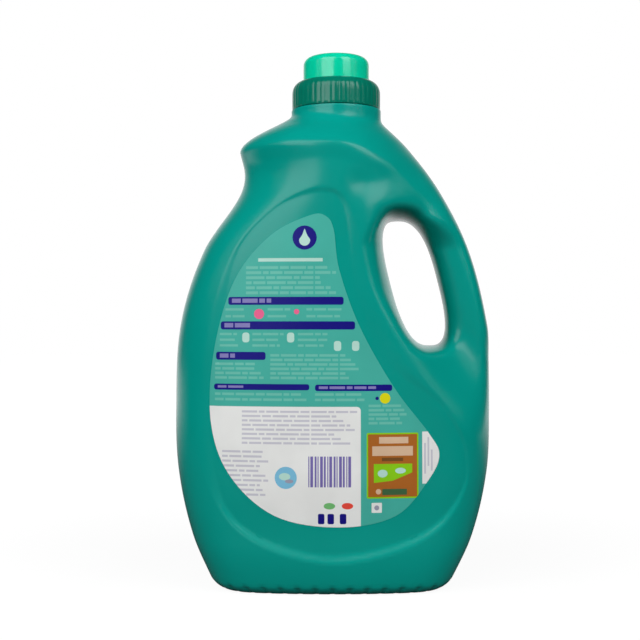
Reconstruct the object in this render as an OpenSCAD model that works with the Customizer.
// Blow-moulded bottle with a side handle, a pouring insert and a two-piece dosing cap.
// Units are millimetres. +Z is up, the handle is on +X, the labelled back faces -Y.

/* [Bottle body] */
// Overall width across the belly
body_w = 171; // [150:1:190]
// Overall depth where the faces are deepest
body_d = 100; // [84:1:112]
// Width at the ground, before the foot edge is rounded
foot_w = 130; // [116:1:138]
// How far each face tucks in at the ground
foot_tuck = 3; // [2:0.5:7]
// Radius of the foot edge
foot_r = 6; // [3:0.5:8]
// Height where the foot flare ends
flare_z = 26; // [20:1:34]
// Width at the end of the foot flare
flare_w = 155; // [142:0.5:158]
// Height of the widest level
belly_z = 92; // [80:1:100]
// Height of the shoulder rim
rim_z = 232; // [222:1:240]
// How far the shoulder rim falls toward the handle
rim_fall = 15; // [10:0.5:18]
// How far the shoulder rim stands out from the face under it
rim_lip = 0.8; // [0.4:0.1:1.2]
// Height of the shoulder, from its rim to the neck drum
shoulder_h = 19; // [15:0.5:24]
// How far each face leans in over its whole height
face_lean = 9.6; // [6:0.2:13]
// Radius of the faces, seen from above
face_r = 260; // [200:5:320]
// Radius of the faces near the shoulder rim
top_r = 150; // [130:5:200]
// Squareness of the rounded sides
side_power = 11; // [8:1:14]
// Squareness of the rounded sides near the shoulder rim
top_power = 3; // [2.5:0.5:6]
// Side wall thickness
wall = 0.9; // [0.8:0.1:1.4]
// Face wall thickness outside the sunk panels
face_wall = 1.3; // [1.2:0.1:1.8]
// Floor thickness, with the rise of the sunk foot
floor_t = 2.6; // [2.4:0.1:3.6]
// Rise of the sunk middle of the foot
foot_rise = 1.3; // [0.8:0.1:1.6]

/* [Handle] */
// Thickness of the grip, front to back
grip_d = 30; // [24:1:36]
// Distance of the finger hole centre from the widest right side
hole_in = 40.8; // [39:0.2:44]
// Height of the finger hole centre
hole_z = 161; // [157:1:165]
// Length of the finger hole
hole_len = 68.6; // [58:0.2:72]
// Width of the finger hole
hole_w = 26.6; // [22:0.2:29]
// Lean of the finger hole, top toward the neck
hole_lean = 14; // [11:0.5:17]
// Radius of the rounding round the finger hole
hole_r = 10.5; // [8:0.5:12]
// Reach of the rounding across the grip
grip_r = 16; // [12:0.5:18]

/* [Neck] */
// Distance of the neck axis from the middle of the body
neck_x = 2; // [0:0.5:4]
// Radius of the neck drum
drum_r = 24.5; // [24.2:0.1:26]
// Height of the neck drum
drum_h = 4.5; // [3.5:0.5:7]
// Height of the threaded finish above the drum
finish_h = 11.8; // [11:0.1:15]
// Outer radius of the threaded finish, without its thread
finish_r = 20.3; // [20.2:0.05:20.5]
// Bore radius of the neck
bore_r = 19; // [18.8:0.05:19.1]

/* [Dosing cup] */
// Outer radius of the cup
cup_r = 18; // [17.6:0.1:18]
// Cup wall thickness
cup_wall = 1.2; // [0.9:0.1:1.5]
// Height of the cup above its sealing flange
cup_rise = 16.6; // [12:0.2:24]
// Length of the cup skirt below its sealing flange
cup_skirt = 17; // [13:0.5:18]
// Radius of the sealing flange
flange_r = 21; // [20.9:0.05:21.1]
// Thickness of the sealing flange
flange_t = 1.4; // [1:0.1:1.5]
// Radius of the cup's top edge
cup_edge = 4.6; // [2:0.2:6]

/* [Screw ring] */
// Outer radius of the ring over its ribs
ring_r = 24.1; // [23.9:0.1:24.4]
// Number of ribs
ribs = 45; // [30:1:52]
// Thickness of the ring's lip over the sealing flange
ring_lip = 1.4; // [1:0.1:2.4]
// Gap between the ring and the neck drum
ring_gap = 0.7; // [0.5:0.1:1]

/* [Pouring insert] */
// Outer radius of the spout
spout_r = 12.7; // [10:0.1:14]
// Height of the spout above the trough
spout_h = 19.4; // [15:0.2:20]
// Wall thickness of the spout
spout_wall = 1.2; // [0.8:0.1:1.6]
// Width of the drain slot
drain_w = 6; // [4:0.5:9]

/* [Labels] */
// Width of the label
label_w = 118.4; // [100:0.2:120]
// Height of the label
label_h = 160.4; // [140:0.2:162]
// Height of the label's lower edge
label_z = 35; // [32:0.5:40]
// Label film thickness
label_t = 0.15; // [0.1:0.05:0.25]
// Depth of the sunk panel
panel_sink = 0.6; // [0.4:0.1:0.7]
// Width of the sunk panel
panel_w = 143; // [128:1:144]
// Height of the sunk panel
panel_h = 191.6; // [172:0.2:193]
// Height of the sunk panel's lower edge
panel_z = 17; // [15:0.5:24]

/* [Hidden] */
$fn = 96;
hole_power = 2.8;
hole_x = body_w / 2 - hole_in;
face_slope = face_lean / (rim_z - flare_z);
drum_z = rim_z + shoulder_h;
drum_top = drum_z + drum_h;
mouth_z = drum_top + finish_h;
insert_lip = 0.6;
seat_z = mouth_z + insert_lip;
trough_t = 1.2;
trough_z = seat_z - cup_skirt - 3.8;
ring_z = drum_top + ring_gap;
ring_under = seat_z + flange_t + 0.3;
ring_top = ring_under + ring_lip;
ring_h = ring_top - ring_z;

bottle_green = [0, 0.56, 0.51];
ring_green = [0, 0.42, 0.34];
cup_green = [0.05, 0.82, 0.66, 0.85];
insert_white = [0.88, 0.92, 0.9];
label_mint = [0.36, 0.7, 0.62];

// Curve helpers

function mix(a, b, t) = a + (b - a) * t;
function ease(t) = let(c = max(0, min(1, t))) c * c * (3 - 2 * c);
function quarter(t) = let(c = 1 - max(0, min(1, t))) sqrt(1 - c * c);
// Rounding from 0 to 1; sharp 2 is a circle, 3 meets the flat more gently
function soft_edge(t, sharp) = let(c = 1 - max(0, min(1, t))) sqrt(1 - pow(c, sharp));
function steps(a, b, n) = [for (k = [1:n]) mix(a, b, k / n)];

// Slope at station i of a list of [position, value] stations
function slope(s, i) =
    let(lo = max(0, i - 1), hi = min(len(s) - 1, i + 1))
    (s[hi][1] - s[lo][1]) / (s[hi][0] - s[lo][0]);

// Smooth curve through the stations, read at one position
function along(s, p) =
    let(
        i = max([for (k = [0:len(s) - 2]) (k == 0 || p >= s[k][0]) ? k : 0]),
        w = s[i + 1][0] - s[i][0],
        t = (p - s[i][0]) / w,
        t2 = t * t,
        t3 = t2 * t
    )
    s[i][1] * (2 * t3 - 3 * t2 + 1) + slope(s, i) * w * (t3 - 2 * t2 + t)
    + s[i + 1][1] * (3 * t2 - 2 * t3) + slope(s, i + 1) * w * (t3 - t2);

// Point k of n steps per station on a smooth closed curve
function closed(p, n) =
    let(c = len(p))
    [for (i = [0:c - 1], k = [0:n - 1])
        let(
            a = p[(i + c - 1) % c], b = p[i], d = p[(i + 1) % c], e = p[(i + 2) % c],
            t = k / n
        )
        0.5 * (2 * b + (d - a) * t + (2 * a - 5 * b + 4 * d - e) * t * t
            + (3 * b - a - 3 * d + e) * t * t * t)];

// Outline of the body: how far each side lies from the middle, at a height

lower_sides = [
    [0, foot_w / 2], [flare_z, flare_w / 2], [mix(flare_z, belly_z, 0.5), body_w / 2 - 1], [belly_z, body_w / 2]];
left_top = [[0.33, 2.5], [0.614, 15.1], [0.8, 32.3], [0.86, 36.3], [0.92, 37.3], [1, 34.8]];
left_sides = concat(lower_sides,
    [for (p = left_top) [mix(belly_z, rim_z, p[0]), body_w / 2 - p[1]]]);
right_top = [[0.17, 0], [0.29, 0.8], [0.541, 10.8], [0.748, 27], [0.893, 44.2]];
right_sides = concat(lower_sides,
    [for (p = right_top) [mix(belly_z, drum_z, p[0]), body_w / 2 - p[1]]],
    [[drum_z - 2.6, neck_x + drum_r]]);

function soft_end(u) = u < 0.7 ? u : 1 - 0.3 * pow(1 - min(1, (u - 0.7) / 0.6), 2);
function shoulder(z) = soft_end(1.3 * pow(max(0, min(1, (z - rim_z) / shoulder_h)), 1.45));
function beak(z) = let(t = max(0, min(1, (z - rim_z) / shoulder_h))) t * t * (1.9 - 0.9 * t);
function foot_inset(z) = foot_r * (1 - quarter(z / foot_r));
function left(z) = z < rim_z
    ? along(left_sides, z) - foot_inset(z)
    : mix(along(left_sides, rim_z), drum_r - neck_x, beak(z));
function right(z) = z < drum_z - 2.6
    ? along(right_sides, z) - foot_inset(z)
    : neck_x + drum_r;
function right_lean(z) = (right(z + 0.5) - right(z - 0.5));
function face(z) = body_d / 2 - face_slope * (z - flare_z);
function depth(z, x) =
    let(fallen = z + rim_fall * pow(max(0, (x + 2) / 36), 1.35))
    z < flare_z
    ? face(z) - foot_tuck * pow(1 - z / flare_z, 2) - foot_inset(z)
    : mix(face(min(z, rim_z)) + rim_lip * ease((fallen - rim_z + 9) / 9), drum_r, shoulder(fallen));
function power(z) =
    mix(mix(side_power, top_power, ease((z - rim_z + 82) / 70)), 2, shoulder(z));
function face_drop(x, z) =
    let(radius = mix(face_r, top_r, ease((z - rim_z + 37) / 25)))
    radius - sqrt(radius * radius - x * x);

// Finger hole: a leaning rounded slot, read as a level that is 1 on its edge

function hole_turn(x, z) = [x - hole_x + (z - hole_z) * tan(hole_lean), z - hole_z];
function hole_level(q, grow) =
    pow(pow(abs(q[0]) / (hole_w / 2 + grow), hole_power)
        + pow(abs(q[1]) / (hole_len / 2 + grow), hole_power), 1 / hole_power);
function hole_gap(x, z, grow) =
    let(
        q = hole_turn(x, z),
        v = max(0.001, hole_level(q, grow)),
        gx = sign(q[0]) * pow(abs(q[0]) / v, hole_power - 1) / pow(hole_w / 2 + grow, hole_power),
        gz = sign(q[1]) * pow(abs(q[1]) / v, hole_power - 1) / pow(hole_len / 2 + grow, hole_power)
            + gx * tan(hole_lean)
    )
    (v - 1) / norm([gx, gz]);
function hole_edge(x, z, grow) =
    let(v = hole_level(hole_turn(x, z), grow))
    [hole_x + (x - hole_x) / v, hole_z + (z - hole_z) / v];

// Share of the thin grip, 0 on the body and 1 on the grip

function grip_share(x, z) =
    let(
        dx = max(0, body_w / 2 + 6 - x + 0.012 * pow(max(0, z - rim_z + 40), 2)) / 62,
        dz = max(0, rim_z - 17 - z) / 104,
        level = pow(pow(dx, 2.4) + pow(dz, 2.4), 1 / 2.4),
        reach = 0.38 + 0.7 * ease((z - rim_z + 47) / 30),
        start = 1.22 + 0.12 * ease((z - rim_z + 47) / 25),
        t = max(0, min(1, (start - level) / reach))
    )
    t * t * t * (10 - 15 * t + 6 * t * t);

// Half depth of the outer skin (cut 0) or of the cavity (cut 1)

function skin_z(z, cut) = z + cut * (z < belly_z ? -floor_t : wall);
function skin_left(z, cut) = left(skin_z(z, cut)) - cut * wall;
function skin_right(z, cut) = right(skin_z(z, cut)) - cut * wall;
function grip_here(x, z, cut) = grip_share(x, z) * (1 - shoulder(skin_z(z, cut)));
function skin_body(x, z, cut) =
    let(
        h = skin_z(z, cut),
        l = skin_left(z, cut),
        r = skin_right(z, cut),
        mid = (r - l) / 2,
        half = (r + l) / 2,
        inset = min(1, abs(x - mid) / half),
        round_off = sqrt(max(0, 1 - pow(inset, power(h)))),
        drop = face_drop(x, h) * (1 - shoulder(h)),
        body = (depth(h, x) - cut * face_wall - drop) * round_off,
        edge = (r - x) / norm([1, right_lean(h)]),
        grip_t = mix(grip_d / 2, drum_r, shoulder(h)) - cut * wall,
        grip = grip_t * soft_edge(edge / grip_r, 3)
    )
    mix(body, grip, grip_here(x, z, cut));
function skin_y(x, z, cut) =
    let(share = grip_here(x, z, cut), gap = hole_gap(x, z, cut * wall))
    skin_body(x, z, cut) * soft_edge(gap / mix(hole_r, grip_r, share), mix(2, 3, share));
function column_x(i, cols, z, cut) =
    let(l = skin_left(z, cut), r = skin_right(z, cut))
    (r - l) / 2 - (r + l) / 2 * cos(180 * i / cols);

// Closed skin with the finger hole: cols columns and the given rows on each side,
// the hole block between columns c1, c2 and rows r1, r2, and rings round the hole
module skin(cols, rows, c1, c2, r1, r2, rings, cut) {
    n = cols + 1;
    side = n * len(rows);
    walk = concat(
        [for (i = [c1:c2]) [i, r1]], [for (j = [r1 + 1:r2]) [c2, j]],
        [for (i = [c2 - 1:-1:c1]) [i, r2]], [for (j = [r2 - 1:-1:r1 + 1]) [c1, j]]);
    w = len(walk);
    grid = [for (z = rows, i = [0:cols])
        let(x = column_x(i, cols, z, cut))
        [x, (i == 0 || i == cols) ? 0 : skin_y(x, z, cut), z]];
    loops = [for (k = [1:rings], g = walk)
        let(
            z0 = rows[g[1]],
            x0 = column_x(g[0], cols, z0, cut),
            e = hole_edge(x0, z0, cut * wall),
            t = sin(90 * k / rings),
            x = mix(x0, e[0], t),
            z = mix(z0, e[1], t)
        )
        [x, k == rings ? 0 : skin_y(x, z, cut), z]];
    back = concat(grid, loops);
    front = [for (p = back) [p[0], -p[1], p[2]]];
    total = len(back);
    at = function (i, j, s) j * n + i + ((s == 0 || i == 0 || i == cols) ? 0 : total);
    loop_at = function (k, m, s)
        k == 0 ? at(walk[m % w][0], walk[m % w][1], s)
        : side + (k - 1) * w + m % w + ((s == 0 || k == rings) ? 0 : total);
    split = function (a, b, c, d, s)
        s == 0 ? [[a, b, c], [a, c, d]] : [[c, b, a], [d, c, a]];
    sheet = [for (s = [0, 1], j = [0:len(rows) - 2], i = [0:cols - 1])
        if (!(i >= c1 && i < c2 && j >= r1 && j < r2))
            each split(at(i, j, s), at(i + 1, j, s), at(i + 1, j + 1, s), at(i, j + 1, s), s)];
    bands = [for (s = [0, 1], k = [0:rings - 1], m = [0:w - 1])
        each split(loop_at(k, m, s), loop_at(k, m + 1, s), loop_at(k + 1, m + 1, s), loop_at(k + 1, m, s), s)];
    last = len(rows) - 1;
    foot = concat([for (i = [cols:-1:0]) at(i, 0, 0)], [for (i = [1:cols - 1]) at(i, 0, 1)]);
    top = concat([for (i = [0:cols]) at(i, last, 0)], [for (i = [cols - 1:-1:1]) at(i, last, 1)]);
    polyhedron(concat(back, front), concat(sheet, bands, [foot, top]), convexity = 8);
}

skin_cols = 32;
block_lo = hole_z - 46;
block_hi = hole_z + 46;
outer_rows = concat(
    [for (a = [0:18:72]) foot_r * (1 - cos(a))], steps(foot_r, flare_z, 3), steps(flare_z, block_lo, 7),
    steps(block_lo, block_hi, 12), steps(block_hi, rim_z, 4), steps(rim_z, drum_z, 7), [drum_top]);
inner_rows = concat(
    [for (a = [0:30:60]) floor_t + foot_r * (1 - cos(a))], steps(floor_t + foot_r, flare_z, 2),
    steps(flare_z, block_lo, 7), steps(block_lo, block_hi, 12), steps(block_hi, rim_z, 3),
    steps(rim_z, drum_z, 5));

// Label outline, as shares of its width and height from the lower left of its box
label_shares = [
    [0.44, 0.995], [0.51, 0.99], [0.542, 0.945], [0.565, 0.82], [0.655, 0.635], [0.805, 0.44],
    [0.955, 0.295], [1, 0.225], [0.95, 0.145], [0.81, 0.035], [0.565, 0], [0.285, 0.035],
    [0.085, 0.165], [0.003, 0.34], [0.02, 0.57], [0.11, 0.79], [0.265, 0.93]];
label_outline = closed([for (p = label_shares) [(p[0] - 0.54) * label_w, label_z + p[1] * label_h]], 6);
panel_shares = [
    [0.44, 1], [0.54, 0.96], [0.58, 0.84], [0.62, 0.69], [0.73, 0.53], [0.89, 0.41], [0.985, 0.3],
    [0.975, 0.18], [0.83, 0.06], [0.505, 0], [0.2, 0.06], [0.04, 0.2], [0, 0.4], [0.035, 0.6],
    [0.13, 0.82], [0.28, 0.95]];
panel_outline = closed([for (p = panel_shares) [(p[0] - 0.5) * panel_w, panel_z + p[1] * panel_h]], 5);

// Upright prism of an outline, from the middle plane out through the back
module prism(outline) {
    rotate([90, 0, 0])
        linear_extrude(height = 80)
            polygon(outline);
}

// Patch of the back below the outer skin, on the skin's own columns and rows
patch_rows = [for (j = [5:27]) outer_rows[j]];
patch_n = 23;
patch_m = len(patch_rows);
patch_size = patch_n * patch_m;
patch_rim = concat(
    [for (i = [0:patch_n - 1]) i], [for (j = [1:patch_m - 1]) j * patch_n + patch_n - 1],
    [for (i = [patch_n - 2:-1:0]) (patch_m - 1) * patch_n + i], [for (j = [patch_m - 2:-1:1]) j * patch_n]);
patch_corners = [for (j = [0:patch_m - 2], i = [0:patch_n - 2])
    let(a = j * patch_n + i)
    [a, a + 1, a + 1 + patch_n, a + patch_n]];
function patch(d) = [for (z = patch_rows, i = [5:27])
    let(x = column_x(i, skin_cols, z, 0))
    [x, d - skin_body(x, z, 0), z]];

// Film between two depths below the skin
module film(deep, shallow) {
    k = patch_size;
    faces = [for (q = patch_corners)
        each [[q[0], q[1], q[2]], [q[0], q[2], q[3]],
            [k + q[2], k + q[1], k + q[0]], [k + q[3], k + q[2], k + q[0]]]];
    edges = [for (e = [0:len(patch_rim) - 1])
        let(a = patch_rim[e], b = patch_rim[(e + 1) % len(patch_rim)])
        each [[b, a, k + a], [b, k + a, k + b]]];
    polyhedron(concat(patch(deep), patch(shallow)), concat(faces, edges), convexity = 6);
}

// Everything behind the back down to a depth below the skin
module recess(deep) {
    k = patch_size;
    count = len(patch_rim);
    floor_points = patch(deep);
    cap_points = [for (r = patch_rim) [floor_points[r][0], -90, floor_points[r][2]]];
    faces = [for (q = patch_corners) each [[q[0], q[1], q[2]], [q[0], q[2], q[3]]]];
    edges = [for (e = [0:count - 1])
        let(f = (e + 1) % count)
        each [[patch_rim[f], patch_rim[e], k + e], [patch_rim[f], k + e, k + f]]];
    cap = [for (e = [count - 1:-1:0]) k + e];
    polyhedron(concat(floor_points, cap_points), concat(faces, edges, [cap]), convexity = 6);
}

module panel_cut() {
    intersection() {
        prism(panel_outline);
        recess(panel_sink);
    }
}

// Sunk middle of the foot, a rounded oblong inside the standing ring
foot_hw = foot_w / 2 - 17;
foot_hd = body_d / 2 - foot_tuck - 16;
foot_half = [for (a = [0:7.5:180])
    [-foot_hw * cos(a), foot_hd * pow(1 - pow(abs(cos(a)), 3), 0.5)]];
foot_outline = concat(foot_half, [for (k = [len(foot_half) - 2:-1:1]) [foot_half[k][0], -foot_half[k][1]]]);

module bottle() {
    color(bottle_green)
        difference() {
            union() {
                skin(skin_cols, outer_rows, 18, 28, 15, 27, 7, 0);
                translate([neck_x, 0, drum_z + 1])
                    cylinder(r = finish_r, h = mouth_z - drum_z - 1);
            }
            skin(skin_cols, inner_rows, 18, 28, 12, 24, 5, 1);
            translate([neck_x, 0, drum_z - 4])
                cylinder(r = bore_r, h = mouth_z - drum_z + 8);
            panel_cut();
            mirror([0, 1, 0]) panel_cut();
            translate([0, 0, -1])
                linear_extrude(height = foot_rise + 1)
                    polygon(foot_outline);
        }
}

module pour_insert() {
    wall_in = bore_r - 0.65;
    color(insert_white)
        translate([neck_x, 0, 0])
            difference() {
                rotate_extrude()
                    polygon([
                        [spout_r - spout_wall, trough_z], [bore_r - 0.02, trough_z],
                        [bore_r - 0.02, mouth_z], [finish_r - 0.1, mouth_z],
                        [finish_r - 0.1, seat_z], [wall_in, seat_z],
                        [wall_in, trough_z + trough_t], [spout_r, trough_z + trough_t],
                        [spout_r, trough_z + trough_t + spout_h],
                        [spout_r - spout_wall, trough_z + trough_t + spout_h]]);
                translate([0, 0, trough_z + trough_t + spout_h])
                    rotate([0, 20, 0])
                        translate([-spout_r, -25, 0])
                            cube([60, 50, 20]);
                translate([spout_r - 3, -drain_w / 2, trough_z + trough_t])
                    cube([5, drain_w, 7]);
            }
}

module dosing_cup() {
    low = seat_z - cup_skirt;
    high = seat_z + cup_rise;
    inner = cup_r - cup_wall;
    bend = max(0.6, cup_edge - cup_wall);
    color(cup_green)
        translate([neck_x, 0, 0])
            rotate_extrude()
                polygon(concat(
                    [[inner, low], [cup_r, low], [cup_r, seat_z], [flange_r, seat_z],
                        [flange_r, seat_z + flange_t], [cup_r, seat_z + flange_t]],
                    [for (a = [0:15:90]) [cup_r - cup_edge + cup_edge * cos(a), high - cup_edge + cup_edge * sin(a)]],
                    [[0, high], [0, high - cup_wall]],
                    [for (a = [90:-15:0])
                        [inner - bend + bend * cos(a), high - cup_edge + bend * sin(a)]]));
}

module screw_ring() {
    lip = cup_r + 0.3;
    round_z = ring_top - 6.5;
    color(ring_green)
        translate([neck_x, 0, 0])
            difference() {
                rotate_extrude()
                    polygon(concat(
                        [[finish_r + 1.6, ring_z], [ring_r, ring_z]],
                        [for (a = [0:10:90]) [lip + (ring_r - lip) * cos(a), round_z + 6.5 * sin(a)]],
                        [[lip, ring_under], [flange_r + 0.3, ring_under], [flange_r + 0.3, seat_z - 0.4],
                            [finish_r + 0.35, seat_z - 0.7], [finish_r + 0.35, seat_z - 1.4],
                            [finish_r + 1.6, seat_z - 2.4]]));
                for (k = [0:ribs - 1])
                    rotate(360 * k / ribs)
                        translate([ring_r + 0.55, 0, ring_z - 1])
                            cylinder(r = 1, h = ring_h + 2);
            }
}

module back_label() {
    color(label_mint)
        intersection() {
            prism(label_outline);
            film(panel_sink, panel_sink - label_t);
        }
}

bottle();
pour_insert();
dosing_cup();
screw_ring();
back_label();
